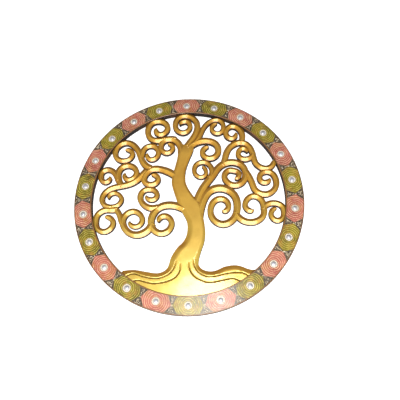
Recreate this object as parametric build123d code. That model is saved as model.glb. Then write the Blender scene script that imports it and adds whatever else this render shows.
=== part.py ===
from build123d import *
import math
import os

os.makedirs("parts", exist_ok=True)

# Frame: origin at the centre of the wall face, X right, Z up, front towards -Y (mm).

# Ring
RING_OUTER_R = 200.0
RING_INNER_R = 169.0
THICKNESS = 12.0
RING_EDGE_ROUND = 1.2
RING_MIDDLE_R = (RING_OUTER_R + RING_INNER_R) / 2

# Tree section, heights measured from the wall face; the tree's points below
# are drawn for a ring of DRAWN_RING_R inside and follow the ring made here
CREST_BELOW_RING = 0.8
CREST_HEIGHT = THICKNESS - CREST_BELOW_RING
SHOULDER_DROP = 3.2
TRUNK_BEVEL = 6.0
ROOT_BEVEL = 1.4
SAMPLE_STEP = 4.5
TIP_ROUND = 9.0
TIP_FLAT = 0.28
DRAWN_RING_R = 169.0
TREE_SCALE = RING_INNER_R / DRAWN_RING_R

# Glass studs and the sockets they are set in
STUD_COUNT = 22
STUD_TOWARDS_HOLE = 0.5
STUD_CIRCLE_R = RING_MIDDLE_R - STUD_TOWARDS_HOLE
STUD_PHASE = -1.1
STUD_R = 3.9
STUD_SEAT_DEPTH = 2.0
STUD_RISE = 1.7
STUD_SEAT_GAP = 0.05

# Hanger let into the back of the ring
WIRE_R = 1.0
WIRE_RUNNING_GAP = 0.08
KNUCKLE_WALL = 1.02
KNUCKLE_R = WIRE_R + WIRE_RUNNING_GAP + KNUCKLE_WALL
KNUCKLE_LENGTH = 9.0
KNUCKLE_GAP = 0.2
HINGE_DEPTH = KNUCKLE_R + KNUCKLE_GAP
HINGE_ABOVE_MIDDLE = 0.5
HINGE_Z = RING_MIDDLE_R + HINGE_ABOVE_MIDDLE
LOOP_HALF_WIDTH = 7.0
LOOP_DROP = 9.6
LOOP_CORNER_R = 2.6
PLATE_WIDTH = 19.0
PLATE_RISE = 10.4
PLATE_TOP_Z = HINGE_Z + PLATE_RISE
PLATE_THICKNESS = 1.2
RECESS_SIDE_GAP = 3.0
RECESS_TOP_GAP = 1.0
RECESS_LOOP_GAP = 1.8
RECESS_WIDTH = PLATE_WIDTH + 2 * RECESS_SIDE_GAP
RECESS_BOTTOM_Z = HINGE_Z - LOOP_DROP - WIRE_R - RECESS_LOOP_GAP
RECESS_TOP_Z = PLATE_TOP_Z + RECESS_TOP_GAP
RECESS_DEPTH = HINGE_DEPTH + KNUCKLE_R + KNUCKLE_GAP
SCREW_X = 3.4
SCREW_ABOVE_HINGE = 5.6
SCREW_Z = HINGE_Z + SCREW_ABOVE_HINGE
SCREW_SHANK_R = 1.25
SCREW_HEAD_R = 2.2
SCREW_HEAD_HEIGHT = 0.9
SCREW_BITE = 4.0

RIGHT, TOP, LEFT, BOTTOM = 0, 90, 180, 270
CW, CCW = -1, 1

# Scrolls, in the order they are set in place: stem points (x, z), eye of the
# scroll, compass side it starts on, hand, radius at each quarter turn, and the
# half widths at the root and at the tip.
SCROLLS = {
    "low_left_bough": (
        [(14, -40), (0, -24), (-14, -16), (-30, -12.5), (-46, -15.5), (-57, -25)],
        (-43, -44), LEFT, CCW, [19.5, 19.5, 16, 11, 5], 7.6, 4.8),
    "low_right_bough": (
        [(19, -56), (20, -40), (22, -24), (26, -8), (33, 6), (43, 15)],
        (60, -19), TOP, CW, [37, 26, 29, 19.5, 17, 10.5, 5], 8.2, 4.8),
    "up_left_bough": (
        [(-10, 28), (-20, 41), (-33, 50), (-48, 56), (-62, 57), (-73, 50.5)],
        (-65.5, 38), LEFT, CCW, [13.3, 11.5, 12.5, 6], 7.4, 4.6),
    "up_right_bough": (
        [(14, -13), (20, 3), (27, 18), (36, 31), (45, 43), (52, 54), (63, 64)],
        (83, 43), TOP, CW, [24.5, 19.5, 20, 17.5, 8, 8, 7.5], 7.4, 4.8),
    "leader_right_curl": (
        [(-8, 84), (-1, 96), (8, 105), (19, 110.5)],
        (38, 91), TOP, CW, [20.5, 17, 14.5, 11.5, 7], 7.2, 4.8),
    "leader_left_curl": (
        [(-12, 80), (-13, 94), (-17, 107), (-25, 114.5)],
        (-38, 101), TOP, CCW, [15.5, 12, 12, 9.5, 5], 6.9, 4.1),
    "crown_top_curl": (
        [(-7, 94), (3, 109), (12, 124), (16.5, 138), (15, 152), (6, 162)],
        (-9, 146), TOP, CCW, [19.5, 15.5, 16, 12, 7.5, 6], 6.3, 4.4),
    "crown_left_curl": (
        [(-26, 117), (-41, 117), (-56, 114.5), (-68, 118)],
        (-54, 140), LEFT, CW, [21.5, 15.5, 15, 12.5, 5], 5.7, 5.3),
    "crown_right_curl": (
        [(12, 108), (20, 120), (25, 132), (33, 146), (43, 153.5)],
        (54, 139), TOP, CW, [16.5, 11, 12, 10.5, 8], 5.2, 3.9),
    "up_right_arch": (
        [(60, 58), (66, 72), (69, 84), (74, 95), (84, 104), (97, 107), (108, 102),
         (115, 90), (118, 78), (121, 66), (129, 57.5)],
        (140, 72), BOTTOM, CCW, [17.5, 13.5, 13, 9], 5.9, 4.8),
    "upper_right_curl": (
        [(95, 104), (99, 115), (98.5, 127)],
        (81, 127), TOP, CCW, [14.5, 11.5, 11, 6], 5.8, 4.8),
    "arch_inner_curl": (
        [(117, 88), (113, 77)],
        (101, 86), BOTTOM, CW, [12.5, 10, 8.5, 5], 5.1, 4.5),
    "up_right_low_curl": (
        [(40, 40), (43.5, 50), (41, 60), (34, 67)],
        (25, 53), TOP, CCW, [16, 13.5, 13.5, 7, 6], 5.2, 3.5),
    "right_edge_curl": (
        [(102, 50), (109, 38), (113.5, 26), (118, 14), (127, 7)],
        (137, 35), BOTTOM, CCW, [29.5, 17.5, 13, 10, 7.5, 7], 5.8, 4.8),
    "low_right_mid_curl": (
        [(84, -30), (90, -38), (99, -43.5)],
        (114, -18), BOTTOM, CCW, [26.5, 17.5, 20.5, 13.5, 5], 5.8, 4.8),
    "low_right_edge_curl": (
        [(131, -24), (134, -16), (141, -12)],
        (153, -28), TOP, CW, [16.5, 12, 14.5, 9.5, 6], 5.3, 4.5),
    "left_hook": (
        [(-61, -46), (-66, -56), (-76, -63.5), (-88, -66), (-100, -62), (-109, -52)],
        (-94, -42), LEFT, CW, [18, 18.5, 15.7, 8.5, 5], 6.8, 4.2),
    "left_ring_curl": (
        [(-54, -17), (-65, -17.5), (-76, -12)],
        (-66, 5.5), LEFT, CW, [17.5, 12, 12, 7.5, 6.5], 5.8, 4.5),
    "far_left_bough": (
        [(-77, 51), (-86, 41), (-96, 32.5), (-112, 26), (-130, 22.3), (-145, 14.5)],
        (-134, -0.5), LEFT, CCW, [18, 14.5, 17, 11, 5], 6.5, 3.6),
    "left_link": (
        [(-113, -50), (-117, -35), (-122, -24), (-131, -17)],
        None, None, CW, [], 5.4, 5.4),
    "far_left_low_curl": (
        [(-124, -19), (-134, -20.5)],
        (-144, -43), TOP, CCW, [22.5, 15.5, 17, 15, 8.5], 5.5, 4.8),
    "left_pair_outer": (
        [(-70, 60), (-80, 68), (-85, 77), (-89, 88), (-95, 99), (-104, 108)],
        (-116, 89), TOP, CCW, [22.5, 18.5, 14.5, 13.5, 6], 6.2, 4.7),
    "left_pair_inner": (
        [(-86, 76)],
        (-68, 88), LEFT, CW, [16.5, 16, 13.5, 12, 6], 5.5, 4.5),
    "wall_pair_inner": (
        [(-119, 25), (-124, 35)],
        (-108, 49), LEFT, CW, [18.5, 15.5, 15, 12, 5], 6.4, 4.5),
    "wall_pair_outer": (
        [(-126, 37), (-132, 49), (-139, 55.5)],
        (-148, 43), TOP, CCW, [14, 9.5, 10.5, 7], 5.5, 4.8),
}

# Flat-topped bands: centre line points with the half width at each (x, z, w)
TRUNK = [(-3.5, -112, 24), (2, -95, 21.8), (11, -80, 18), (15.2, -65, 15.7), (15.2, -50, 14.7),
         (11, -33, 16), (4.2, -16, 18.5), (-5.5, 1, 15.7), (-14, 21, 13.4), (-16, 42, 11.4),
         (-12.7, 60, 10.3), (-8.2, 76, 11), (-3.3, 94, 12.5), (-1, 104, 8)]
ROOTS = {
    "root_left_outer": [(-20, -96, 5.5), (-24, -112, 5.2), (-27, -122, 5.0), (-34, -130, 4.8),
                        (-46, -135.5, 4.6), (-58, -136.3, 4.6), (-72, -134, 4.4),
                        (-87, -129.5, 4.2), (-104, -132, 4.2)],
    "root_left_inner": [(-12, -104, 4.6), (-14, -118, 4.4), (-17.5, -130, 4.2), (-26, -138.5, 4.0),
                        (-40, -143.8, 3.8), (-55, -145.2, 3.8), (-70, -142.6, 3.8), (-90, -138.5, 3.8)],
    "root_right_outer": [(18, -96, 5.5), (15.5, -110, 5.2), (16.5, -119, 5.0), (22.5, -127.5, 5.0),
                         (34, -133.4, 5.0), (48, -132, 5.2), (62, -127.2, 5.8), (78, -125, 6.0),
                         (90, -126.6, 5.8), (102, -130.5, 5.4), (118, -126, 5.0)],
    "root_right_inner": [(9, -104, 4.6), (7.5, -118, 4.4), (10.5, -128.5, 4.2), (18.5, -136.5, 4.0),
                         (32, -142, 3.9), (45, -142, 3.9), (60, -138.8, 3.9), (76, -136.2, 3.9),
                         (92, -139.5, 3.9)],
}
MOUND = [(-118, -125), (-87, -131), (-50, -136), (-30, -124), (-14, -104), (10, -104),
         (24, -122), (45, -134), (78, -124), (100, -130), (128, -116), (150, -190), (-150, -190)]


def across(tangent):
    """Unit vector in the wall plane, square to a tangent."""
    return Vector(-tangent.Z, 0, tangent.X).normalized()


def ruled(first, second):
    return Face.make_surface_from_curves(first, second)


def rail(points, height, fractions):
    """Smooth edge through points lifted to a height above the wall face."""
    lifted = [Vector(p.X, -height, p.Z) for p in points]
    return Edge.make_spline(lifted, parameters=fractions)


def end_cap(edges, end):
    corners = [edge @ end for edge in edges]
    return Face(Wire.make_polygon(corners, close=True))


def band(centres, halves, crest_height, bevel=None):
    """Solid strip along a line: flat back, upright sides, sloped shoulders.
    Without a bevel the shoulders meet in a ridge; with one the top stays flat."""
    line = Spline(*[Vector(x, 0, z) * TREE_SCALE for x, z in centres])
    steps = max(6, round(line.length / SAMPLE_STEP))
    fractions = [i / steps for i in range(steps + 1)]
    spots = [line @ t for t in fractions]
    sides = [across(line % t) for t in fractions]
    widths = [halves(t, line.length) * TREE_SCALE for t in fractions]
    shoulder = crest_height - SHOULDER_DROP
    left = [p + s * w for p, s, w in zip(spots, sides, widths)]
    right = [p - s * w for p, s, w in zip(spots, sides, widths)]
    left_foot = rail(left, 0, fractions)
    left_shoulder = rail(left, shoulder, fractions)
    right_foot = rail(right, 0, fractions)
    right_shoulder = rail(right, shoulder, fractions)
    if bevel is None:
        tops = [rail(spots, crest_height, fractions)]
    else:
        inset = [w - min(bevel, w * 0.6) for w in widths]
        tops = [
            rail([p + s * w for p, s, w in zip(spots, sides, inset)], crest_height, fractions),
            rail([p - s * w for p, s, w in zip(spots, sides, inset)], crest_height, fractions),
        ]
    outline = [left_foot, left_shoulder, *tops, right_shoulder, right_foot]
    faces = [ruled(a, b) for a, b in zip(outline, outline[1:] + outline[:1])]
    faces += [end_cap(outline, 0), end_cap(outline, 1)]
    return Solid(Shell(faces))


def scroll_line(stem, eye, start, hand, radii):
    """Stem points followed by a point every eighth turn of the spiral."""
    points = list(stem)
    angle = start
    for index, radius in enumerate(radii):
        if index:
            middle = (radii[index - 1] + radius) / 2
            points.append(around(eye, middle, angle - hand * 45))
        points.append(around(eye, radius, angle))
        angle += hand * 90
    return points


def around(eye, radius, degrees):
    turn = math.radians(degrees)
    return (eye[0] + radius * math.cos(turn), eye[1] + radius * math.sin(turn))


def scroll(stem, eye, start, hand, radii, root_half, tip_half):
    """Ridged scroll limb, narrowing to a rounded tip."""
    def halves(t, length):
        width = root_half + (tip_half - root_half) * t
        left_over = (1 - t) * length
        if not eye or left_over >= TIP_ROUND:
            return width
        return width * max(TIP_FLAT, math.sqrt(1 - (1 - left_over / TIP_ROUND) ** 2))
    return band(scroll_line(stem, eye, start, hand, radii), halves, CREST_HEIGHT)


def flat_band(knots, crest_height, bevel):
    """Flat-topped strip whose half width follows the knots."""
    runs = [0.0]
    for (x0, z0, _), (x1, z1, _) in zip(knots, knots[1:]):
        runs.append(runs[-1] + math.hypot(x1 - x0, z1 - z0))

    def halves(t, _):
        run = t * runs[-1]
        for i in range(1, len(knots)):
            if run <= runs[i] or i == len(knots) - 1:
                share = (run - runs[i - 1]) / (runs[i] - runs[i - 1])
                return knots[i - 1][2] + share * (knots[i][2] - knots[i - 1][2])
    return band([(x, z) for x, z, _ in knots], halves, crest_height, bevel)


def slab(outline, height):
    face = Face(Wire.make_polygon([Vector(x, 0, z) * TREE_SCALE for x, z in outline], close=True))
    return Solid.extrude(face, Vector(0, -height, 0))


def disc(radius, near, far):
    """Cylinder along Y between two heights above the wall face."""
    length = far - near
    centre = Plane(origin=(0, -near, 0), x_dir=(1, 0, 0), z_dir=(0, -1, 0))
    return centre * Cylinder(radius, length, align=(Align.CENTER, Align.CENTER, Align.MIN))


def block(x0, x1, y0, y1, z0, z1):
    return Pos((x0 + x1) / 2, (y0 + y1) / 2, (z0 + z1) / 2) * Box(x1 - x0, y1 - y0, z1 - z0)


def stud_spots():
    step = 360 / STUD_COUNT
    angles = [math.radians(90 - STUD_PHASE - i * step) for i in range(STUD_COUNT)]
    return [(STUD_CIRCLE_R * math.cos(a), STUD_CIRCLE_R * math.sin(a)) for a in angles]


def make_ring():
    ring = disc(RING_OUTER_R, 0, THICKNESS) - disc(RING_INNER_R, -1, THICKNESS + 1)
    front_edges = ring.edges().filter_by_position(Axis.Y, -THICKNESS, -THICKNESS)
    ring = fillet(front_edges, RING_EDGE_ROUND)
    seat = disc(STUD_R + STUD_SEAT_GAP, THICKNESS - STUD_SEAT_DEPTH, THICKNESS + 1)
    for x, z in stud_spots():
        ring -= Pos(x, 0, z) * seat
    half = RECESS_WIDTH / 2
    ring -= block(-half, half, -RECESS_DEPTH, 1, RECESS_BOTTOM_Z, RECESS_TOP_Z)
    for sign in (-1, 1):
        ring -= Pos(sign * SCREW_X, 0, SCREW_Z) * screw_hole()
    return ring


def screw_hole():
    return disc(SCREW_SHANK_R, 0, RECESS_DEPTH + SCREW_BITE)


def make_stud():
    """Domed glass stud: straight body in the socket, shallow cap above."""
    body = disc(STUD_R, THICKNESS - STUD_SEAT_DEPTH, THICKNESS)
    cap_radius = (STUD_R ** 2 + STUD_RISE ** 2) / (2 * STUD_RISE)
    ball = Pos(0, -(THICKNESS + STUD_RISE - cap_radius), 0) * Sphere(cap_radius)
    return body + (ball & disc(STUD_R, THICKNESS, THICKNESS + STUD_RISE + 1))


def make_studs(first):
    spots = stud_spots()[first::2]
    return [Pos(x, 0, z) * make_stud() for x, z in spots]


def bar(x0, x1, radius):
    """Round bar on the hinge line."""
    middle = Plane(origin=(x0, -HINGE_DEPTH, HINGE_Z), x_dir=(0, 1, 0), z_dir=(1, 0, 0))
    return middle * Cylinder(radius, x1 - x0, align=(Align.CENTER, Align.CENTER, Align.MIN))


def make_hanger_plate():
    """Flat plate with its lower edge rolled round the loop's bar."""
    half = PLATE_WIDTH / 2
    face_y = -RECESS_DEPTH + PLATE_THICKNESS
    plate = block(-half, half, -RECESS_DEPTH, face_y, HINGE_Z + KNUCKLE_R, PLATE_TOP_Z)
    reach = KNUCKLE_LENGTH / 2
    plate += block(-reach, reach, -RECESS_DEPTH, face_y, HINGE_Z, HINGE_Z + KNUCKLE_R)
    plate += bar(-reach, reach, KNUCKLE_R)
    plate -= bar(-reach - 1, reach + 1, WIRE_R + WIRE_RUNNING_GAP)
    for sign in (-1, 1):
        plate -= Pos(sign * SCREW_X, 0, SCREW_Z) * screw_hole()
    return plate


def make_screws():
    """Two pan-head screws through the plate into the ring."""
    seat = RECESS_DEPTH - PLATE_THICKNESS
    shank = disc(SCREW_SHANK_R, seat, RECESS_DEPTH + SCREW_BITE)
    head = disc(SCREW_HEAD_R, seat - SCREW_HEAD_HEIGHT, seat)
    screw = head + shank
    return [Pos(sign * SCREW_X, 0, SCREW_Z) * screw for sign in (-1, 1)]


def make_loop():
    """Closed wire loop: the top bar turns in the knuckle, the rest hangs below."""
    top = HINGE_Z
    low = HINGE_Z - LOOP_DROP
    half = LOOP_HALF_WIDTH
    corner = [(-half, top), (half, top), (half, low), (-half, low)]
    outline = Wire.make_polygon([Vector(x, -HINGE_DEPTH, z) for x, z in corner], close=True)
    path = outline.fillet_2d(LOOP_CORNER_R, outline.vertices())
    start = path.edges().sort_by(Axis.Z)[-1]
    section = Plane(origin=start @ 0.5, z_dir=start % 0.5) * Circle(WIRE_R)
    return sweep(section, path=path)


def largest(shape):
    return max(shape.solids(), key=lambda solid: solid.volume)


def boxes_meet(first, second):
    a, b = first.bounding_box(), second.bounding_box()
    return all(lo1 <= hi2 and lo2 <= hi1 for lo1, hi1, lo2, hi2 in zip(a.min, a.max, b.min, b.max))


def fitted(shape, standing):
    """Trim a new piece against the pieces already in place."""
    for other in standing:
        if boxes_meet(shape, other):
            shape = largest(shape - other)
    return shape


def build():
    ring = make_ring()
    tree = {"trunk": flat_band(TRUNK, CREST_HEIGHT, TRUNK_BEVEL)}
    for name, knots in ROOTS.items():
        tree[name] = fitted(flat_band(knots, CREST_HEIGHT, ROOT_BEVEL), [ring, *tree.values()])
    mound = slab(MOUND, CREST_HEIGHT) & disc(RING_INNER_R, 0, THICKNESS)
    tree["root_mound"] = fitted(mound, tree.values())
    for name, sizes in SCROLLS.items():
        tree[name] = fitted(scroll(*sizes), [ring, *tree.values()])
    pieces = {"ring": ring}
    pieces.update(tree)
    pieces["glass_studs_on_pink"] = make_studs(0)
    pieces["glass_studs_on_green"] = make_studs(1)
    pieces["hanger_plate"] = make_hanger_plate()
    pieces["hanger_screws"] = make_screws()
    pieces["hanger_loop"] = make_loop()
    return pieces


for piece_name, piece in build().items():
    solids = piece if isinstance(piece, list) else piece.solids()
    export_step(Compound(children=list(solids)), os.path.join("parts", piece_name + ".step"))
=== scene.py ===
import bpy
import math
import random

import bmesh
import numpy as np
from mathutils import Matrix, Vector, noise
from mathutils.bvhtree import BVHTree
from mathutils.geometry import delaunay_2d_cdt


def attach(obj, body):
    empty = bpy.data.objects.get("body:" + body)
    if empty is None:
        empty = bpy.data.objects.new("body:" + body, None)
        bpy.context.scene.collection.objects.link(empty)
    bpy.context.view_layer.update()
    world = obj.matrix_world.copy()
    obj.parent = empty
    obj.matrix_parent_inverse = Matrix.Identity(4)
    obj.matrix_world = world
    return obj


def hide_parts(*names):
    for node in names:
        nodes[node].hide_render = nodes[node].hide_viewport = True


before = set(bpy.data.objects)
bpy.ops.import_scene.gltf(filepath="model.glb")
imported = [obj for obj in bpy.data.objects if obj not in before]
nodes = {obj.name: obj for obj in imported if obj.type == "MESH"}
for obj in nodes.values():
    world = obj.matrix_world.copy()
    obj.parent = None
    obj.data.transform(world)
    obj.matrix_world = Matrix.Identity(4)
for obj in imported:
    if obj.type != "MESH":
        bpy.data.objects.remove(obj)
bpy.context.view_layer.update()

# The studio: a white sweep of paper well below and behind the plaque, and pale
# daylight all round. A soft lamp hangs close by the camera, a wide bounce card low
# in front. The camera looks up at the plaque from a little below its middle.
SWEEP_HALF_WIDTH = 3.0
SWEEP_CURVE = [(-1.6, -1.2), (0.9, -1.2), (1.25, -1.15), (1.4, -0.97), (1.45, -0.67), (1.45, 3.4)]
PAPER_WHITE = (0.95, 0.95, 0.95, 1)
PAPER_ROUGHNESS = 0.9
PAPER_GLOW = 0.8
DAYLIGHT_COLOUR = (1, 0.99, 0.97, 1)
DAYLIGHT_STRENGTH = 0.25
PALE_WALL = (0.97, 0.97, 0.97, 1)


def new_paint(name):
    """A fresh material with its node tree and its shader."""
    paint = bpy.data.materials.new(name)
    paint.use_nodes = True
    return paint, paint.node_tree, paint.node_tree.nodes["Principled BSDF"]


sweep = bpy.data.meshes.new("paper_sweep")
sweep_verts = [(x, y, z) for y, z in SWEEP_CURVE for x in (-SWEEP_HALF_WIDTH, SWEEP_HALF_WIDTH)]
sweep_faces = [(2 * i, 2 * i + 1, 2 * i + 3, 2 * i + 2) for i in range(len(SWEEP_CURVE) - 1)]
sweep.from_pydata(sweep_verts, [], sweep_faces)
paper = bpy.data.objects.new("paper_sweep", sweep)
bpy.context.collection.objects.link(paper)
paper_paint, tree, paper_shader = new_paint("white_paper")
paper_shader.inputs["Base Color"].default_value = PAPER_WHITE
paper_shader.inputs["Roughness"].default_value = PAPER_ROUGHNESS
paper_shader.inputs["Emission Color"].default_value = (1, 1, 1, 1)
paper_shader.inputs["Emission Strength"].default_value = PAPER_GLOW
sweep.materials.append(paper_paint)

world = bpy.data.worlds.new("daylight")
world.use_nodes = True
sky = world.node_tree.nodes["Background"]
sky.inputs["Color"].default_value = DAYLIGHT_COLOUR
sky.inputs["Strength"].default_value = DAYLIGHT_STRENGTH
pale_wall = world.node_tree.nodes.new("ShaderNodeBackground")
pale_wall.inputs["Color"].default_value = PALE_WALL
seen = world.node_tree.nodes.new("ShaderNodeLightPath")
either = world.node_tree.nodes.new("ShaderNodeMixShader")
world.node_tree.links.new(seen.outputs["Is Camera Ray"], either.inputs[0])
world.node_tree.links.new(sky.outputs[0], either.inputs[1])
world.node_tree.links.new(pale_wall.outputs[0], either.inputs[2])
world.node_tree.links.new(either.outputs[0], world.node_tree.nodes["World Output"].inputs["Surface"])
bpy.context.scene.world = world
bpy.context.scene.view_settings.view_transform = "Standard"


def soft_light(name, shape, size, power, colour, place, target):
    """An area light of a given shape and size, turned to face a point."""
    data = bpy.data.lights.new(name, "AREA")
    data.shape = shape
    data.size, data.size_y = size
    data.energy = power
    data.color = colour
    light = bpy.data.objects.new(name, data)
    light.location = place
    light.rotation_euler = (Vector(target) - light.location).to_track_quat("-Z", "Y").to_euler()
    bpy.context.collection.objects.link(light)


soft_light("soft_lamp", "DISK", (0.22, 0.22), 2.3, (1.0, 0.97, 0.90),
           place=(0.02, -0.69, -0.10), target=(0, 0, -0.02))
soft_light("bounce_card", "RECTANGLE", (0.9, 0.75), 15.0, (1.0, 0.98, 0.93),
           place=(0.05, -0.52, -0.67), target=(0, 0, 0))

CAMERA_TURN = math.radians(4.07)
CAMERA_RISE = math.radians(-20.9)
CAMERA_ROLL = math.radians(0.71)
CAMERA_REACH = 0.7386
FRONT_CENTRE = Vector((0, -0.012, 0))
camera_data = bpy.data.cameras.new("camera")
camera_data.sensor_width = 36
camera_data.lens = 38.25
camera_data.shift_x = 0.0318
camera_data.shift_y = -0.0078
camera = bpy.data.objects.new("camera", camera_data)
camera.location = FRONT_CENTRE + CAMERA_REACH * Vector((
    math.sin(CAMERA_TURN) * math.cos(CAMERA_RISE),
    -math.cos(CAMERA_TURN) * math.cos(CAMERA_RISE),
    math.sin(CAMERA_RISE)))
camera.rotation_euler = (FRONT_CENTRE - camera.location).to_track_quat("-Z", "Y").to_matrix().to_euler()
camera.rotation_euler.rotate_axis("Z", CAMERA_ROLL)
bpy.context.collection.objects.link(camera)
bpy.context.scene.camera = camera


# The tree's gold coat: bronze-gold paint over a dark brown undercoat, glazed.
# Faces that look up get painted shade, browner; the foot gets a painted highlight
# of pale gold; the crests are lighter, rubbed wear with a painted highlight; the
# hollows below the crest get painted shade; and the side walls and the back keep
# the bare undercoat.
def math_node(tree, operation, first, second=None):
    """One sum on the surface, of masks or plain numbers."""
    node = tree.nodes.new("ShaderNodeMath")
    node.operation = operation
    for socket, value in zip(node.inputs, (first, second)):
        if value is None:
            continue
        if isinstance(value, (int, float)):
            socket.default_value = value
        else:
            tree.links.new(value, socket)
    return node.outputs[0]


def plus(tree, first, second):
    return math_node(tree, "ADD", first, second)


def minus(tree, first, second):
    return math_node(tree, "SUBTRACT", first, second)


def times(tree, first, second):
    return math_node(tree, "MULTIPLY", first, second)


def blend_colour(tree, share, first, second):
    """The first colour where the share is 0, the second where it is 1."""
    node = tree.nodes.new("ShaderNodeMix")
    node.data_type = "RGBA"
    for socket, value in zip((node.inputs[0], node.inputs[6], node.inputs[7]), (share, first, second)):
        if isinstance(value, (int, float, tuple)):
            socket.default_value = value
        else:
            tree.links.new(value, socket)
    return node.outputs[2]


def ramp(tree, value, low, high):
    """0 at low, 1 at high, straight between."""
    node = tree.nodes.new("ShaderNodeMapRange")
    node.inputs["From Min"].default_value = low
    node.inputs["From Max"].default_value = high
    tree.links.new(value, node.inputs["Value"])
    return node.outputs[0]


def grain(tree, scale, detail=4.0, rough=0.55, stretch=None):
    """Cloudy noise at so many cycles per metre."""
    place = tree.nodes.new("ShaderNodeTexCoord").outputs["Object"]
    if stretch:
        mapping = tree.nodes.new("ShaderNodeMapping")
        mapping.inputs["Scale"].default_value = stretch
        tree.links.new(place, mapping.inputs["Vector"])
        place = mapping.outputs[0]
    node = tree.nodes.new("ShaderNodeTexNoise")
    node.inputs["Scale"].default_value = scale
    node.inputs["Detail"].default_value = detail
    node.inputs["Roughness"].default_value = rough
    tree.links.new(place, node.inputs["Vector"])
    return node.outputs["Fac"]


def spot_and_facing(tree):
    """Where a point of the surface is, and which way it faces, each as x, y, z."""
    spot = tree.nodes.new("ShaderNodeSeparateXYZ")
    tree.links.new(tree.nodes.new("ShaderNodeTexCoord").outputs["Object"], spot.inputs[0])
    facing = tree.nodes.new("ShaderNodeSeparateXYZ")
    tree.links.new(tree.nodes.new("ShaderNodeNewGeometry").outputs["Normal"], facing.inputs[0])
    return spot.outputs, facing.outputs


DEEP_GOLD = (0.345, 0.165, 0.013, 1)
CLEAR_GOLD = (0.47, 0.252, 0.028, 1)
RUST_FLECK = (0.27, 0.095, 0.010, 1)
# painted shade: the browner tone of faces that look up
PAINTED_UPWARD_SHADE = (0.26, 0.105, 0.009, 1)
# painted highlight: pale gold on the lower part, towards the foot
PAINTED_FOOT_HIGHLIGHT = (0.45, 0.365, 0.070, 1)
# lighter gold on the crests: rubbed wear with a painted highlight
RUBBED_GOLD_AND_HIGHLIGHT = (0.60, 0.37, 0.07, 1)
# painted shade in the hollows below the crest
PAINTED_HOLLOW_SHADE = (0.16, 0.055, 0.010, 1)
UNDERCOAT_BLACK = (0.006, 0.0025, 0.001, 1)
UNDERCOAT_BROWN = (0.05, 0.018, 0.004, 1)
# heights where the painted highlight towards the foot begins and is full
FOOT_HIGHLIGHT_FROM, FOOT_HIGHLIGHT_FULL = 0.03, -0.13

gold_coat = bpy.data.node_groups.new("gold_coat", "ShaderNodeTree")
for name in ("Crest Height", "Edge Depth"):
    gold_coat.interface.new_socket(name, in_out="INPUT", socket_type="NodeSocketFloat")
gold_coat.interface.new_socket("Color", in_out="OUTPUT", socket_type="NodeSocketColor")
for name in ("Roughness", "Metallic", "Coat Weight", "Height"):
    gold_coat.interface.new_socket(name, in_out="OUTPUT", socket_type="NodeSocketFloat")
given = gold_coat.nodes.new("NodeGroupInput")
made = gold_coat.nodes.new("NodeGroupOutput")
spot, facing = spot_and_facing(gold_coat)
outward = times(gold_coat, facing[1], -1.0)
upward = facing[2]
patchy = grain(gold_coat, 95, 5)
fine = grain(gold_coat, 900, 3, 0.6)
mottled = grain(gold_coat, 28, 3)

wall = ramp(gold_coat, outward, 0.62, 0.36)
bare = minus(gold_coat, 1.0, wall)
height = times(gold_coat, spot[1], -1.0)
below = minus(gold_coat, given.outputs["Crest Height"], height)
share = math_node(gold_coat, "DIVIDE", below, given.outputs["Edge Depth"])
edge = plus(gold_coat, share, times(gold_coat, minus(gold_coat, patchy, 0.5), 0.5))
# Painted shade in the hollows, where the surface lies well below the crest.
hollow_shade = times(gold_coat, ramp(gold_coat, edge, 0.72, 1.08), 0.8)
# Lighter near the crest: rubbed wear and a painted highlight.
rubbed_crest_highlight = times(gold_coat, ramp(gold_coat, edge, 0.34, 0.02), 0.30)
flecked = times(gold_coat, ramp(gold_coat, fine, 0.58, 0.78), 0.45)
# Painted shade: faces that look up turn browner.
upward_shade = times(gold_coat, ramp(gold_coat, upward, 0.12, 0.42), 0.55)
# Painted highlight: paler gold towards the foot, on faces not turned up.
foot_highlight = times(gold_coat, ramp(gold_coat, spot[2], FOOT_HIGHLIGHT_FROM, FOOT_HIGHLIGHT_FULL), 0.72)
foot_highlight = times(gold_coat, foot_highlight, ramp(gold_coat, upward, 0.22, 0.02))

tone = blend_colour(gold_coat, ramp(gold_coat, mottled, 0.35, 0.65), DEEP_GOLD, CLEAR_GOLD)
for mask, colour in ((flecked, RUST_FLECK), (upward_shade, PAINTED_UPWARD_SHADE), (foot_highlight, PAINTED_FOOT_HIGHLIGHT),
                     (rubbed_crest_highlight, RUBBED_GOLD_AND_HIGHLIGHT), (hollow_shade, PAINTED_HOLLOW_SHADE)):
    tone = blend_colour(gold_coat, mask, tone, colour)
undercoat = blend_colour(gold_coat, ramp(gold_coat, patchy, 0.45, 0.75), UNDERCOAT_BLACK, UNDERCOAT_BROWN)
tone = blend_colour(gold_coat, wall, tone, undercoat)
roughness = plus(gold_coat, 0.23, times(gold_coat, patchy, 0.16))
roughness = plus(gold_coat, roughness, times(gold_coat, wall, 0.45))
gold_coat.links.new(tone, made.inputs["Color"])
gold_coat.links.new(roughness, made.inputs["Roughness"])
gold_coat.links.new(times(gold_coat, bare, 0.35), made.inputs["Metallic"])
gold_coat.links.new(bare, made.inputs["Coat Weight"])
gold_coat.links.new(plus(gold_coat, fine, times(gold_coat, patchy, 1.4)), made.inputs["Height"])

FACE_HEIGHT = 0.0112


def raise_grain(tree, shader, height, distance):
    """Shallow relief in the paint film."""
    hills = tree.nodes.new("ShaderNodeBump")
    hills.inputs["Distance"].default_value = distance
    hills.inputs["Strength"].default_value = 0.6
    tree.links.new(height, hills.inputs["Height"])
    tree.links.new(hills.outputs[0], shader.inputs["Normal"])


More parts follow.
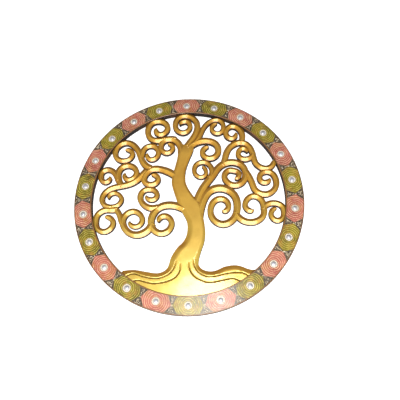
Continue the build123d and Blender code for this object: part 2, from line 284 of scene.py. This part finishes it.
def gold_paint(name, edge_depth, relief):
    """The gold coat on a piece whose pared edges drop by edge_depth."""
    paint, tree, shader = new_paint(name)
    coat = tree.nodes.new("ShaderNodeGroup")
    coat.node_tree = gold_coat
    coat.inputs["Crest Height"].default_value = FACE_HEIGHT
    coat.inputs["Edge Depth"].default_value = edge_depth
    tree.links.new(coat.outputs["Color"], shader.inputs["Base Color"])
    for quality in ("Roughness", "Metallic", "Coat Weight"):
        tree.links.new(coat.outputs[quality], shader.inputs[quality])
    raise_grain(tree, shader, coat.outputs["Height"], relief)
    shader.inputs["Coat Roughness"].default_value = 0.15
    shader.inputs["Specular IOR Level"].default_value = 0.25
    return paint


# Scroll limbs: clay strips pared to two facets that meet in a ridge, curled at
# the tip and luted on one after another. Each runs along the ridge of its CAD
# piece, and its root dives into the limb that carries it.
SCROLL_NODES = [
    "low_left_bough", "low_right_bough", "up_left_bough", "up_right_bough", "leader_right_curl",
    "leader_left_curl", "crown_top_curl", "crown_left_curl", "crown_right_curl", "up_right_arch",
    "upper_right_curl", "arch_inner_curl", "up_right_low_curl", "right_edge_curl", "low_right_mid_curl",
    "low_right_edge_curl", "left_hook", "left_ring_curl", "far_left_bough", "left_link",
    "far_left_low_curl", "left_pair_outer", "left_pair_inner", "wall_pair_inner", "wall_pair_outer"]
WORK_STEP = 0.0014
SHOULDER_HEIGHT = 0.0074
LEAST_DROP = 0.0004
ROOT_RUN = 0.0056
ROOT_DIVE_FROM = 0.0028
ROOT_DIVE = 0.0045
ROOT_NARROWING = 0.45
TIP_LENGTH = 0.0090
TIP_SINK = 0.0014
TIP_LEAST = 0.05
WIDTH_SWAY, HEIGHT_SWAY = 0.012, 0.00006
BACK_LIFT = 0.00003
RIDGE_TOLERANCE = 3e-5
FEELER_DEPTH = 0.004
NARROWEST, WIDEST = 0.002, 0.012
NEAR_MIDDLE, FAR_MIDDLE, TIP_FROM = 0.25, 0.72, 0.94
# Across a limb: how far out, in half widths, and how far up from shoulder to ridge.
FACET_POINTS = ((0.97, 0.03), (0.5, 0.5), (0.05, 0.95))
CREASES = (3, 5, 6, 8)
scroll_gold = gold_paint("scroll_gold", 0.0034, 0.00016)


def ridge_links(piece):
    """The points on a CAD limb's ridge, and which of them its edges join."""
    spots, links = {}, {}
    top = min(v.co.y for v in piece.data.vertices)
    for edge in piece.data.edges:
        first, second = (piece.data.vertices[i].co for i in edge.vertices)
        if max(first.y, second.y) > top + RIDGE_TOLERANCE:
            continue
        a, b = ((round(co.x * 1e6), round(co.z * 1e6)) for co in (first, second))
        if a == b:
            continue
        spots[a], spots[b] = first.copy(), second.copy()
        links.setdefault(a, set()).add(b)
        links.setdefault(b, set()).add(a)
    return spots, links


def joined_group(start, links):
    """Every point that a chain of links reaches from the start."""
    group, stack = set(), [start]
    while stack:
        here = stack.pop()
        if here not in group:
            group.add(here)
            stack.extend(links[here] - group)
    return group


def walk(group, links):
    """The points of a group in order, from one of its ends."""
    ends = [k for k in group if len(links[k]) == 1] or [next(iter(group))]
    run, seen = [ends[0]], {ends[0]}
    while True:
        onward = [k for k in links[run[-1]] if k not in seen]
        if not onward:
            return run
        run.append(onward[0])
        seen.add(onward[0])


def ridge_line(piece):
    """The longest run of points along a CAD limb's ridge."""
    spots, links = ridge_links(piece)
    best, unseen = [], set(links)
    while unseen:
        group = joined_group(next(iter(unseen)), links)
        unseen -= group
        run = walk(group, links)
        if len(run) > len(best):
            best = run
    return [Vector((spots[k].x, spots[k].z)) for k in best]


def even_steps(line, step):
    """The same line with points at an even spacing."""
    runs = [0.0]
    for a, b in zip(line, line[1:]):
        runs.append(runs[-1] + (b - a).length)
    count = max(4, round(runs[-1] / step))
    points, i = [], 0
    for n in range(count + 1):
        run = runs[-1] * n / count
        while i < len(runs) - 2 and runs[i + 1] < run:
            i += 1
        share = (run - runs[i]) / max(runs[i + 1] - runs[i], 1e-9)
        points.append(line[i].lerp(line[i + 1], min(1.0, share)))
    return points


def direction(line, i):
    """Which way a line runs at one of its points."""
    return (line[min(i + 1, len(line) - 1)] - line[max(i - 1, 0)]).normalized()


def half_widths(piece, line):
    """Half width at the root and at the tip, felt from the ridge to the walls."""
    corners = [v.co for v in piece.data.vertices]
    walls = BVHTree.FromPolygons(corners, [p.vertices for p in piece.data.polygons])
    found = []
    for i in range(2, len(line) - 4):
        along = direction(line, i)
        start = Vector((line[i].x, -FEELER_DEPTH, line[i].y))
        for sign in (-1, 1):
            hit = walls.ray_cast(start, Vector((-along.y * sign, 0, along.x * sign)))
            if hit[0] is not None and NARROWEST < hit[3] < WIDEST:
                found.append((i / (len(line) - 1), hit[3]))
    near = sorted(w for t, w in found if t < 0.5)
    far = sorted(w for t, w in found if 0.5 <= t < TIP_FROM)
    low, high = near[len(near) // 2], far[len(far) // 2]
    slope = (high - low) / (FAR_MIDDLE - NEAR_MIDDLE)
    return low - slope * NEAR_MIDDLE, low + slope * (1 - NEAR_MIDDLE)


def hand_waves(seed):
    """Four slow waves, each of its own size, that make a strip look hand pared."""
    uneven = random.Random(seed)
    waves = [(uneven.uniform(0.25, 0.9), uneven.uniform(0, 6.28), uneven.uniform(0.4, 1.0))
             for _ in range(4)]
    return lambda i: sum(size * math.sin(rate * i * 0.5 + start) for rate, start, size in waves)


def build_piece(name, mesh, paint):
    """A piece in the scene from a finished bmesh, in one paint."""
    data = bpy.data.meshes.new(name)
    mesh.to_mesh(data)
    mesh.free()
    data.materials.append(paint)
    piece = bpy.data.objects.new(name, data)
    bpy.context.collection.objects.link(piece)
    return piece


def limb_hoop(mesh, spot, across, ridge, back_lift):
    """One ring of points round a limb: walls, shoulders and two facets."""
    shoulder = min(SHOULDER_HEIGHT, ridge - LEAST_DROP)
    side = [(1, 0.0), (1, 0.5 * shoulder), (1, shoulder - LEAST_DROP)]
    side += [(out, shoulder + up * (ridge - shoulder)) for out, up in FACET_POINTS]
    hoop = []
    for out, high in side + [(-out, high) for out, high in reversed(side)]:
        x, z = spot + across * out
        hoop.append(mesh.verts.new((x, -max(high, back_lift), z)))
    return hoop


def shaped_limb(name, piece, seed):
    """A ridged strip along a CAD limb, with a sunken root and a rounded tip."""
    line = even_steps(ridge_line(piece), WORK_STEP)
    root, tip = half_widths(piece, line)
    if root < tip:
        line.reverse()
        root, tip = tip, root
    back = (line[0] - line[2]).normalized()
    extra = round(ROOT_RUN / WORK_STEP)
    line = [line[0] + back * WORK_STEP * k for k in range(extra, 0, -1)] + line
    length = len(line) - 1
    sway = hand_waves(seed)
    mesh = bmesh.new()
    hoops = []
    for i, spot in enumerate(line):
        half = root + (tip - root) * max(0.0, (i - extra) / (length - extra))
        half *= 1 + WIDTH_SWAY * sway(i)
        sink = 0.0
        left_over = (length - i) * WORK_STEP
        if left_over < TIP_LENGTH:
            u = 1 - left_over / TIP_LENGTH
            half *= math.sqrt(max(TIP_LEAST, 1 - u * u))
            sink = TIP_SINK * u ** 4
        into = (extra - i) * WORK_STEP
        if into > ROOT_DIVE_FROM:
            dive = (into - ROOT_DIVE_FROM) / (ROOT_RUN - ROOT_DIVE_FROM)
            sink = ROOT_DIVE * dive
            half *= 1 - ROOT_NARROWING * dive
        along = direction(line, i)
        across = half * Vector((-along.y, along.x))
        ridge = FACE_HEIGHT - sink + HEIGHT_SWAY * sway(i)
        hoops.append(limb_hoop(mesh, spot, across, ridge, BACK_LIFT * (seed + 1)))
    for first, second in zip(hoops, hoops[1:]):
        for k in range(len(first)):
            n = (k + 1) % len(first)
            mesh.faces.new((first[k], first[n], second[n], second[k])).smooth = True
        for k in CREASES:
            mesh.edges.get((first[k], second[k])).smooth = False
    mesh.faces.new(hoops[0])
    mesh.faces.new(list(reversed(hoops[-1])))
    bmesh.ops.recalc_face_normals(mesh, faces=mesh.faces)
    return build_piece(name, mesh, scroll_gold)


for seed, name in enumerate(SCROLL_NODES):
    limb = shaped_limb(name + "_worked", nodes[name], seed)
    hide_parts(name)
    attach(limb, "plaque")


# Trunk, roots and mound: a broad slab of clay with its edges pared down, stood in
# the bottom of the ring. Two lines scored on each side part the root strands.
# All six pieces are cut from one surface, so they run on without a step.
MM = 1000
SHORE_LEFT = [
    (-106, -128), (-87, -126.5), (-65, -130), (-50, -132), (-40, -130), (-33, -125), (-29.5, -118),
    (-27, -108), (-22, -98), (-15, -88), (-7, -80), (-1.5, -70), (0.5, -60), (0.5, -50), (-2, -40),
    (-7, -30), (-14, -17), (-19, -4), (-23, 8), (-28, 25), (-28, 38), (-25.5, 50), (-22.5, 62),
    (-19.5, 76), (-17.5, 90), (-12, 104)]
CROWN_END = [(-5, 103), (4, 106)]
SHORE_RIGHT = [
    (10, 98), (8, 88), (3, 75), (-2, 60), (-4.5, 45), (-3.5, 30), (1, 18), (7, 8), (12, 1), (17, -4),
    (22, -10), (25, -20), (27, -32), (30, -50), (31, -65), (29, -80), (24, -95), (20.5, -108),
    (20, -118), (25, -125), (32, -128), (40, -129), (50, -127), (62, -121.5), (78, -119), (90, -121),
    (100, -125), (110, -126.5), (123, -122)]
SCORED = {
    "left_upper": [(-17, -111), (-20, -122), (-27, -132), (-40, -139), (-52, -141), (-70, -138),
                   (-87, -133), (-99, -137)],
    "left_lower": [(-10, -116), (-11, -128), (-18, -139), (-33, -146), (-52, -149), (-65, -147),
                   (-78, -144), (-87, -145)],
    "right_upper": [(11, -109), (13, -120), (20, -131), (35, -138), (50, -136.5), (65, -133),
                    (80, -131), (92, -132), (100, -136.5)],
    "right_lower": [(3, -114), (6, -128), (15, -139), (30, -146), (42, -147), (57, -144),
                    (72, -141), (80, -142), (87, -145)]}
FOOT_LEFT, FOOT_RIGHT = (-33, -113.5), (26, -108)
MOUND_RADIUS = 170.5
MOUND_ARC_STEPS = 150
PARED_DROP = 3.0
LEFT_PARING = ((-20, 20), (8.5, 4.5))
RIGHT_PARING = ((-114, -98), (7.5, 3.6))
CROWN_SINK, CROWN_SLOPE = 1.4, 15.0
SCORE_HALF, SCORE_DEPTH, SCORE_RUN_IN, SCORE_CRISP = 1.05, 2.4, 12, 0.3
HAND_WAVE, HAND_WAVE_LENGTH = 0.16, 16
SHORE_STEP, SCORE_STEP = 1.5, 1.3
GRID, GRID_SQUASH = 1.6, 0.93
EDGE_CLEARANCE = 0.8
SCORE_CLEARANCE = 0.5
FOOT_LIFT = 0.4 * BACK_LIFT
CURVE_STEPS = 8


def flowing(points, step):
    """A smooth run through points, at even steps."""
    dense = []
    for i in range(len(points) - 1):
        near = [points[min(max(i + k, 0), len(points) - 1)] for k in (-1, 0, 1, 2)]
        p0, p1, p2, p3 = (Vector(p) for p in near)
        for n in range(CURVE_STEPS):
            t = n / CURVE_STEPS
            dense.append(0.5 * (2 * p1 + (p2 - p0) * t + (2 * p0 - 5 * p1 + 4 * p2 - p3) * t * t
                                + (3 * p1 - p0 - 3 * p2 + p3) * t ** 3))
    dense.append(Vector(points[-1]))
    return even_steps(dense, step)


def distance_to(points, line):
    """Distance from each point to a run of straight pieces."""
    best = np.full(len(points), 1e9)
    for start, end in zip(line, line[1:]):
        start, run = np.array(start), np.array(end - start)
        t = np.clip(((points - start) @ run) / (run @ run), 0, 1)
        best = np.minimum(best, np.hypot(*(points - start - t[:, None] * run).T))
    return best


def nearness(points, line, reach):
    """1 on a line, falling straight to 0 at its reach."""
    return np.clip(1 - distance_to(points, line) / reach, 0, 1)


def within(points, outline):
    """Which points lie inside a closed outline."""
    inside = np.zeros(len(points), bool)
    corners = [tuple(p) for p in outline]
    for (x0, z0), (x1, z1) in zip(corners, corners[1:] + corners[:1]):
        if z0 == z1:
            continue
        crossing = (z0 > points[:, 1]) != (z1 > points[:, 1])
        cut = (x1 - x0) * (points[:, 1] - z0) / (z1 - z0) + x0
        inside ^= crossing & (points[:, 0] < cut)
    return inside


def beside(line, gap):
    """The same line moved sideways."""
    moved = []
    for i, spot in enumerate(line):
        along = direction(line, i)
        moved.append(spot + gap * Vector((-along.y, along.x)))
    return moved


def nearest_to(line, point):
    """Which of a line's points is nearest to a given one."""
    return min(range(len(line)), key=lambda i: (line[i] - Vector(point)).length)


whole = flowing(SHORE_LEFT + CROWN_END + SHORE_RIGHT, SHORE_STEP)
crown_from = nearest_to(whole, SHORE_LEFT[-1])
crown_to = nearest_to(whole, SHORE_RIGHT[0])
arc_from = math.atan2(SHORE_RIGHT[-1][1], SHORE_RIGHT[-1][0])
arc_to = math.atan2(SHORE_LEFT[0][1], SHORE_LEFT[0][0])
arc_turns = (arc_from + (arc_to - arc_from) * n / MOUND_ARC_STEPS for n in range(1, MOUND_ARC_STEPS))
outline = whole + [MOUND_RADIUS * Vector((math.cos(a), math.sin(a))) for a in arc_turns]
scores = {name: flowing(points, SCORE_STEP) for name, points in SCORED.items()}
parting = {name: line + [line[-1] * 1.03] for name, line in scores.items()}
foot = [Vector(p) for p in (FOOT_LEFT, SCORED["left_upper"][0], SCORED["left_lower"][0],
                            SCORED["right_lower"][0], SCORED["right_upper"][0], FOOT_RIGHT)]

laid = np.array([(column * GRID, row * GRID * GRID_SQUASH)
                 for column in range(-76, 86) for row in range(-116, 74)])
laid = laid[within(laid, outline)]
clear = distance_to(laid, outline + [outline[0]]) > EDGE_CLEARANCE
for line in scores.values():
    clear &= distance_to(laid, line) > SCORE_HALF + SCORE_CLEARANCE
laid = laid[clear]

corners = [tuple(p) for p in outline]
joined = [(i, (i + 1) % len(outline)) for i in range(len(outline))]
score_sides = [beside(line, gap) for line in scores.values() for gap in (-SCORE_HALF, SCORE_HALF)]
for line in list(parting.values()) + [foot] + score_sides:
    joined += [(len(corners) + i, len(corners) + i + 1) for i in range(len(line) - 1)]
    corners += [tuple(p) for p in line]
corners += [tuple(p) for p in laid]
flat, _, faces, *_ = delaunay_2d_cdt([Vector(p) for p in corners], joined, [], 1, 1e-4)
plan = np.array([tuple(p) for p in flat])
faces = np.array([tuple(face) for face in faces])
middles = plan[faces].mean(axis=1)
kept = within(middles, outline)
faces, middles = faces[kept], middles[kept]

pared_left = nearness(plan, whole[:crown_from], np.interp(plan[:, 1], *LEFT_PARING))
pared_right = nearness(plan, whole[crown_to:], np.interp(plan[:, 1], *RIGHT_PARING))
heights = FACE_HEIGHT * MM - PARED_DROP * np.maximum(pared_left, pared_right)
heights -= CROWN_SINK * nearness(plan, whole[crown_from:crown_to + 1], CROWN_SLOPE)
for line in scores.values():
    fade = np.clip(np.hypot(*(plan - np.array(line[0])).T) / SCORE_RUN_IN, 0, 1)
    heights -= SCORE_DEPTH * nearness(plan, line, SCORE_HALF) * fade ** 0.6
heights += [HAND_WAVE * noise.noise(Vector((x / HAND_WAVE_LENGTH, z / HAND_WAVE_LENGTH, 5)))
            for x, z in plan]

left_out, left_in = parting["left_upper"], parting["left_lower"]
right_out, right_in = parting["right_upper"], parting["right_lower"]
strands = {
    "root_left_outer": left_out + [(-150, -150), (-150, -100), (-33, -100), FOOT_LEFT],
    "root_left_inner": left_in + left_out[::-1],
    "root_right_inner": right_in + right_out[::-1],
    "root_right_outer": right_out + [(150, -150), (150, -98), (26, -98), FOOT_RIGHT],
    "root_mound": left_in + [(-150, -200), (150, -200)] + right_in[::-1]}
belongs = {name: within(middles, border) for name, border in strands.items()}
belongs["trunk"] = ~np.any(list(belongs.values()), axis=0)

# The lean of the whole surface, so that its shading runs on from piece to piece.
# Along the scored lines each piece keeps its own, and the lines stay crisp.
scored = np.zeros(len(plan), bool)
for line in scores.values():
    scored |= distance_to(plan, line) < SCORE_CRISP
leaning = np.zeros((len(plan), 3))
surface = np.column_stack((plan[:, 0], -heights, plan[:, 1]))
for a, b, c in ((0, 1, 2), (1, 2, 0), (2, 0, 1)):
    start = surface[faces[:, a]]
    sides = np.cross(surface[faces[:, b]] - start, surface[faces[:, c]] - start)
    sides *= -np.sign(sides[:, 1:2])
    np.add.at(leaning, faces[:, a], sides)
trunk_gold = gold_paint("trunk_gold", 0.0050, 0.00014)


def cut_piece(name, part_faces):
    """Closed slab under some of the surface's triangles."""
    mesh = bmesh.new()
    used = sorted(set(part_faces.ravel()))
    tops = {i: mesh.verts.new((plan[i][0] / MM, -heights[i] / MM, plan[i][1] / MM)) for i in used}
    feet = {i: mesh.verts.new((plan[i][0] / MM, -FOOT_LIFT, plan[i][1] / MM)) for i in used}
    edges = set()
    for face in part_faces:
        mesh.faces.new([tops[i] for i in face]).smooth = True
        mesh.faces.new([feet[i] for i in reversed(face)])
        edges |= {(a, b) for a, b in zip(face, np.roll(face, -1))}
    for a, b in edges:
        if (b, a) not in edges:
            mesh.faces.new((tops[b], tops[a], feet[a], feet[b]))
    bmesh.ops.recalc_face_normals(mesh, faces=mesh.faces)
    piece = build_piece(name, mesh, trunk_gold)
    shading = []
    for face in piece.data.polygons:
        for i in face.vertices:
            own = not face.use_smooth or scored[used[i]]
            shading.append(Vector((0, 0, 0)) if own else Vector(leaning[used[i]]).normalized())
    piece.data.normals_split_custom_set(shading)
    return piece


for name, mine in belongs.items():
    piece = cut_piece(name + "_worked", faces[mine])
    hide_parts(name)
    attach(piece, "plaque")

# The ring: one flat hoop of fired clay that the tree is luted into. It is painted
# with pointed oval medallions, pink and olive in turn, on a dark ground, with worn
# lines of lighter paint round each stud and a thin brown line along both edges.
MEDALLIONS = 22
SECTOR = 2 * math.pi / MEDALLIONS
MEDALLION_START = math.radians(-1.1)
MEDALLION_CIRCLE = 0.184
MEDALLION_HALF_LENGTH = 0.0256
MEDALLION_HALF_HEIGHT = 0.0225
LINE_PITCH = 0.0033
HEART_RADIUS = 0.0070
HAND_DRIFT = 0.0045
INNER_LINE, OUTER_LINE = (0.1712, 0.1706), (0.1978, 0.1986)
PINKS = (0.21, 0.040, 0.032, 1), (0.35, 0.100, 0.075, 1)
OLIVES = (0.070, 0.055, 0.003, 1), (0.165, 0.125, 0.006, 1)
LINE_ON_PINK, LINE_ON_OLIVE = (0.50, 0.29, 0.19, 1), (0.38, 0.32, 0.05, 1)
ORANGE_BLOTCH = (0.29, 0.125, 0.022, 1)
HEART_CREAM = (0.34, 0.29, 0.22, 1)
GROUNDS = (0.030, 0.022, 0.014, 1), (0.16, 0.115, 0.075, 1)
INNER_BROWN = (0.17, 0.075, 0.022, 1)
OUTER_BROWN = (0.13, 0.062, 0.022, 1)
FLANKS = (0.006, 0.003, 0.002, 1), (0.04, 0.016, 0.006, 1)

ring_paint, tree, shader = new_paint("ring_paint")
spot, facing = spot_and_facing(tree)
x, z = spot[0], spot[2]


def square(value):
    return times(tree, value, value)


radius = math_node(tree, "SQRT", plus(tree, square(x), square(z)))
turn = minus(tree, math_node(tree, "ARCTAN2", x, z), MEDALLION_START)
which = math_node(tree, "ROUND", math_node(tree, "DIVIDE", turn, SECTOR))
off = minus(tree, turn, times(tree, which, SECTOR))
side = times(tree, radius, math_node(tree, "SINE", off))
up = minus(tree, times(tree, radius, math_node(tree, "COSINE", off)), MEDALLION_CIRCLE)
odd = math_node(tree, "ABSOLUTE", math_node(tree, "MODULO", which, 2.0))
drift = times(tree, minus(tree, grain(tree, 38, 3), 0.5), HAND_DRIFT)
reach = plus(tree, math_node(tree, "SQRT", plus(tree, square(side), square(up))), drift)
lengthways = square(math_node(tree, "DIVIDE", side, MEDALLION_HALF_LENGTH))
crossways = math_node(tree, "DIVIDE", math_node(tree, "ABSOLUTE", up), MEDALLION_HALF_HEIGHT)
oval = plus(tree, plus(tree, lengthways, crossways), times(tree, drift, 35.0))
cloud = grain(tree, 45, 4)
speck = grain(tree, 700, 3, 0.6)

clouded = ramp(tree, cloud, 0.35, 0.65)
disc = blend_colour(tree, odd, blend_colour(tree, clouded, *PINKS), blend_colour(tree, clouded, *OLIVES))
blotch = times(tree, ramp(tree, grain(tree, 70, 3), 0.48, 0.66), 0.6)
disc = blend_colour(tree, blotch, disc, ORANGE_BLOTCH)
off_line = minus(tree, math_node(tree, "FRACT", math_node(tree, "DIVIDE", reach, LINE_PITCH)), 0.5)
line_mask = ramp(tree, math_node(tree, "ABSOLUTE", off_line), 0.27, 0.17)
line_mask = times(tree, line_mask, ramp(tree, reach, HEART_RADIUS + 0.0002, HEART_RADIUS + 0.0008))
worn = ramp(tree, grain(tree, 130, 4, 0.6), 0.38, 0.66)
line_tone = blend_colour(tree, odd, LINE_ON_PINK, LINE_ON_OLIVE)
disc = blend_colour(tree, times(tree, line_mask, worn), disc, line_tone)
disc = blend_colour(tree, ramp(tree, reach, HEART_RADIUS, HEART_RADIUS - 0.0012), disc, HEART_CREAM)
ground = blend_colour(tree, ramp(tree, speck, 0.45, 0.7), *GROUNDS)
painted = blend_colour(tree, ramp(tree, oval, 1.03, 0.96), ground, disc)
painted = blend_colour(tree, ramp(tree, radius, *INNER_LINE), painted, INNER_BROWN)
painted = blend_colour(tree, ramp(tree, radius, *OUTER_LINE), painted, OUTER_BROWN)
flank = ramp(tree, times(tree, facing[1], -1.0), 0.75, 0.45)
flank_tone = blend_colour(tree, ramp(tree, cloud, 0.4, 0.7), *FLANKS)
painted = blend_colour(tree, flank, painted, flank_tone)
roughness = plus(tree, 0.30, times(tree, speck, 0.25))
roughness = plus(tree, roughness, times(tree, flank, 0.45))
tree.links.new(painted, shader.inputs["Base Color"])
tree.links.new(roughness, shader.inputs["Roughness"])
tree.links.new(times(tree, minus(tree, 1.0, flank), 0.65), shader.inputs["Coat Weight"])
shader.inputs["Coat Roughness"].default_value = 0.2
shader.inputs["Specular IOR Level"].default_value = 0.25
raise_grain(tree, shader, plus(tree, speck, line_mask), 0.0002)


def paint_piece(piece, paint):
    """One paint all over a CAD piece."""
    piece.data.materials.clear()
    piece.data.materials.append(paint)


paint_piece(nodes["ring"], ring_paint)

# Raised paint dots: drops of thick paint set by hand in rows round each
# medallion and each stud, and scattered over the dark ground between them. They
# dried proud of the face, each a little uneven in size and tone.
RING_FACE = 0.012
DROP_BED = 0.00005
DROP_RISE = 0.55
DROP_SIDES = 8
SHOULDER_OUT, SHOULDER_UP = 0.62, 0.78
STUD_ROW_RADIUS, STUD_ROW_COUNT, STUD_ROW_WIDE = 0.0053, 14, 0.00095
LINE_ROWS, FIRST_ROW = 5, 2.5
LINE_DROP_SPACING = 0.0021
LINE_DROP_SIZES, GROUND_DROP_SIZES = (0.00045, 0.0007), (0.0004, 0.0008)
LINE_BAND = (0.1718, 0.1974)
GROUND_DROPS = 900
GROUND_BAND = (0.1722, 0.1972)
GROUND_FROM_CENTRE = 0.0252
DRIED_BROWN = (0.16, 0.10, 0.05, 1)


def round_row(mesh, x, z, wide, high):
    """One ring of a drop's points."""
    turns = (2 * math.pi * i / DROP_SIDES for i in range(DROP_SIDES))
    return [mesh.verts.new((x + wide * math.cos(a), high, z + wide * math.sin(a))) for a in turns]


def add_drop(mesh, x, z, wide):
    """A low round drop of paint standing on the ring's face."""
    bed, high = DROP_BED - RING_FACE, wide * DROP_RISE
    rim = round_row(mesh, x, z, wide, bed)
    shoulder = round_row(mesh, x, z, SHOULDER_OUT * wide, bed - SHOULDER_UP * high)
    crown = mesh.verts.new((x, bed - high, z))
    mesh.faces.new(list(reversed(rim)))
    for i in range(DROP_SIDES):
        j = (i + 1) % DROP_SIDES
        mesh.faces.new((rim[i], rim[j], shoulder[j], shoulder[i])).smooth = True
        mesh.faces.new((shoulder[i], shoulder[j], crown)).smooth = True


def drop_paint(name, first, second, rough):
    """Thick paint that dried a little uneven."""
    paint, tree, shader = new_paint(name)
    tone = blend_colour(tree, ramp(tree, grain(tree, 240, 2), 0.38, 0.62), first, second)
    dried = times(tree, ramp(tree, grain(tree, 30, 2), 0.5, 0.75), 0.35)
    tree.links.new(blend_colour(tree, dried, tone, DRIED_BROWN), shader.inputs["Base Color"])
    roughness = plus(tree, rough, times(tree, grain(tree, 900, 2), 0.2))
    tree.links.new(roughness, shader.inputs["Roughness"])
    return paint


def paint_drops(name, spots, paint):
    """All the drops of one colour, as one piece on the ring."""
    mesh = bmesh.new()
    for x, z, wide in spots:
        add_drop(mesh, x, z, wide)
    bmesh.ops.recalc_face_normals(mesh, faces=mesh.faces)
    piece = build_piece(name, mesh, paint)
    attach(piece, "plaque")


dice = random.Random(11)
turns = [MEDALLION_START + i * SECTOR for i in range(MEDALLIONS)]
centres = [(MEDALLION_CIRCLE * math.sin(turn), MEDALLION_CIRCLE * math.cos(turn)) for turn in turns]
on_pink, on_olive, on_ground, round_studs = [], [], [], []


def centre_distances(x, z):
    """How far a spot is from the middle of each medallion."""
    return [math.hypot(x - cx, z - cz) for cx, cz in centres]


for i, (cx, cz) in enumerate(centres):
    for k in range(STUD_ROW_COUNT):
        a = 2 * math.pi * k / STUD_ROW_COUNT
        x, z = cx + STUD_ROW_RADIUS * math.cos(a), cz + STUD_ROW_RADIUS * math.sin(a)
        round_studs.append((x, z, STUD_ROW_WIDE))
    for row in range(LINE_ROWS):
        reach = LINE_PITCH * (row + FIRST_ROW)
        count = round(2 * math.pi * reach / LINE_DROP_SPACING)
        for k in range(count):
            a = 2 * math.pi * (k + dice.uniform(-0.12, 0.12)) / count
            x, z = cx + reach * math.cos(a), cz + reach * math.sin(a)
            if not LINE_BAND[0] < math.hypot(x, z) < LINE_BAND[1]:
                continue
            apart = centre_distances(x, z)
            if apart.index(min(apart)) == i:
                (on_olive if i % 2 else on_pink).append((x, z, dice.uniform(*LINE_DROP_SIZES)))
while len(on_ground) < GROUND_DROPS:
    turn, out = dice.uniform(0, 2 * math.pi), dice.uniform(*GROUND_BAND)
    x, z = out * math.sin(turn), out * math.cos(turn)
    if min(centre_distances(x, z)) > GROUND_FROM_CENTRE:
        on_ground.append((x, z, dice.uniform(*GROUND_DROP_SIZES)))

cream_gold = drop_paint("cream_gold_drops", (0.54, 0.30, 0.17, 1), (0.62, 0.41, 0.24, 1), 0.3)
yellow = drop_paint("yellow_drops", (0.34, 0.28, 0.035, 1), (0.46, 0.40, 0.08, 1), 0.3)
pale = drop_paint("pale_drops", (0.42, 0.33, 0.20, 1), (0.60, 0.52, 0.40, 1), 0.35)
white = drop_paint("white_drops", (0.60, 0.57, 0.50, 1), (0.70, 0.67, 0.60, 1), 0.3)
paint_drops("drops_on_pink", on_pink, cream_gold)
paint_drops("drops_on_olive", on_olive, yellow)
paint_drops("drops_on_ground", on_ground, pale)
paint_drops("drops_round_studs", round_studs, white)

# Glass studs: small domed grey glass cabochons with foil behind them, glued
# into round sockets at the middle of each medallion.
GLASS_GREYS = (0.24, 0.24, 0.28, 1), (0.46, 0.46, 0.50, 1)
stud_glass, tree, shader = new_paint("stud_glass")
tone = blend_colour(tree, ramp(tree, grain(tree, 260, 3), 0.35, 0.65), *GLASS_GREYS)
roughness = plus(tree, 0.30, times(tree, grain(tree, 500, 2), 0.12))
tree.links.new(tone, shader.inputs["Base Color"])
tree.links.new(roughness, shader.inputs["Roughness"])
shader.inputs["Metallic"].default_value = 0.25
shader.inputs["Coat Weight"].default_value = 0.4
shader.inputs["Coat Roughness"].default_value = 0.2
for name in ("glass_studs_on_pink", "glass_studs_on_green"):
    studs = nodes[name]
    paint_piece(studs, stud_glass)
    studs.data.polygons.foreach_set("use_smooth", [True] * len(studs.data.polygons))

# Hanger: a small plated steel plate screwed into the recess at the ring's back,
# with a wire loop that turns in its rolled edge.
STEEL_GREYS = (0.24, 0.23, 0.21, 1), (0.42, 0.41, 0.38, 1)
BRUSHED_ALONG_Z = (1, 1, 14)
hanger_steel, tree, shader = new_paint("hanger_steel")
brushed = grain(tree, 420, 3, 0.6, BRUSHED_ALONG_Z)
tree.links.new(blend_colour(tree, brushed, *STEEL_GREYS), shader.inputs["Base Color"])
tree.links.new(plus(tree, 0.24, times(tree, brushed, 0.25)), shader.inputs["Roughness"])
shader.inputs["Metallic"].default_value = 1.0
for name in ("hanger_plate", "hanger_screws", "hanger_loop"):
    paint_piece(nodes[name], hanger_steel)
